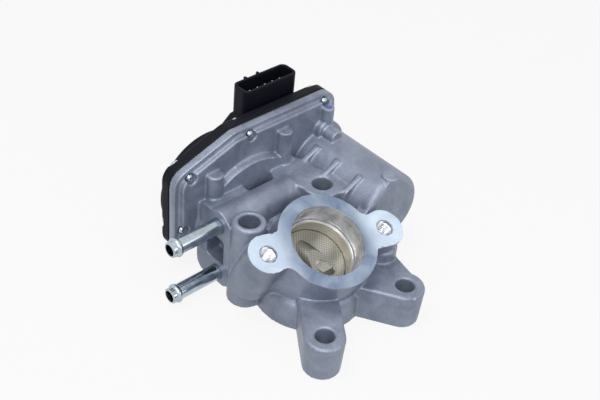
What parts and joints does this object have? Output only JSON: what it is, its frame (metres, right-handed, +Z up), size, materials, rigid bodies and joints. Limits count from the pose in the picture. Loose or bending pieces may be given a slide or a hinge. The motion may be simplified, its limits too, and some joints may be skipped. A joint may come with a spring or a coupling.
{
  "type": "egr valve",
  "caption": "Motor-driven exhaust gas recirculation valve with an inclined gas port, a gear case, a flap inside and coolant pipes.",
  "frame": {"origin": "on the engine face, the middle of the feet: halfway between the front right bolt hole and the back left one", "axes": "+Z up out of the engine face, +X along the flap shaft from the gear case to the motor's closed end, +Y along the gear case"},
  "size_m": [0.1327, 0.1316, 0.0797],
  "materials": {
    "cast_aluminium": "fine sand-cast skin with machined faces",
    "stainless_steel": "turned",
    "spring_steel": "drawn wire",
    "bearing_steel": "ground",
    "zinc_steel": "bright zinc plate",
    "rubber": "moulded",
    "gear_plastic": "moulded, natural",
    "magnet": "sintered",
    "brown_plastic": "moulded",
    "tinned_copper": "tin plate",
    "black_plastic": "moulded, satin",
    "circuit_board": "solder mask",
    "brass": "machined",
    "lamination_steel": "stamped sheets",
    "copper_wire": "enamelled copper"
  },
  "bodies": {
    "housing": {"valve_body": "cast_aluminium", "seat_sleeve": "stainless_steel", "bearing_outer_ring": "bearing_steel", "shaft_seal": "rubber", "needle_bearing": "bearing_steel", "return_spring": "spring_steel", "gear_pin": "bearing_steel", "motor_can": "zinc_steel", "motor_end_plate": "zinc_steel", "motor_magnets": "magnet", "brush_card": "brown_plastic", "motor_contacts": "tinned_copper", "motor_spring": "spring_steel", "motor_screws": "zinc_steel", "cover_gasket": "rubber", "gear_cover": "black_plastic", "cover_screws": "zinc_steel", "position_sensor": "circuit_board", "connector_terminals": "tinned_copper", "upper_coolant_pipe": "zinc_steel", "lower_coolant_pipe": "zinc_steel"},
    "flap_drive": {"flap_shaft": "stainless_steel", "flap": "stainless_steel", "flap_ring": "spring_steel", "bearing_inner_ring": "bearing_steel", "valve_gear": "gear_plastic", "sensor_magnet": "magnet"},
    "intermediate": {"intermediate_gear": "gear_plastic"},
    "rotor": {"motor_shaft": "bearing_steel", "motor_pinion": "brass", "rotor_core": "lamination_steel", "rotor_winding": "copper_wire", "commutator": "copper_wire"}
  },
  "joints": [
    {"name": "flap_turn", "type": "hinge", "parent": "housing", "child": "flap_drive", "pos_m": [-0.0089, 0.0022, 0.02], "axis": [1, 0, 0], "range_deg": [0, 72], "stiffness_Nm_per_rad": 0.12, "springref_deg": -34.38, "deforming": ["return_spring"]},
    {"name": "intermediate_turn", "type": "hinge", "parent": "housing", "child": "intermediate", "pos_m": [-0.06, 0.02545, 0.04051], "axis": [1, 0, 0], "range_deg": [-246.87, 0]},
    {"name": "motor_turn", "type": "hinge", "parent": "housing", "child": "rotor", "pos_m": [-0.04, 0.0512, 0.031], "axis": [1, 0, 0], "range_deg": [0, 1008.01]}
  ],
  "couplings": [
    {"joint": "intermediate_turn", "follows": "flap_turn", "ratio": -3.4286},
    {"joint": "motor_turn", "follows": "flap_turn", "ratio": 14}
  ]
}
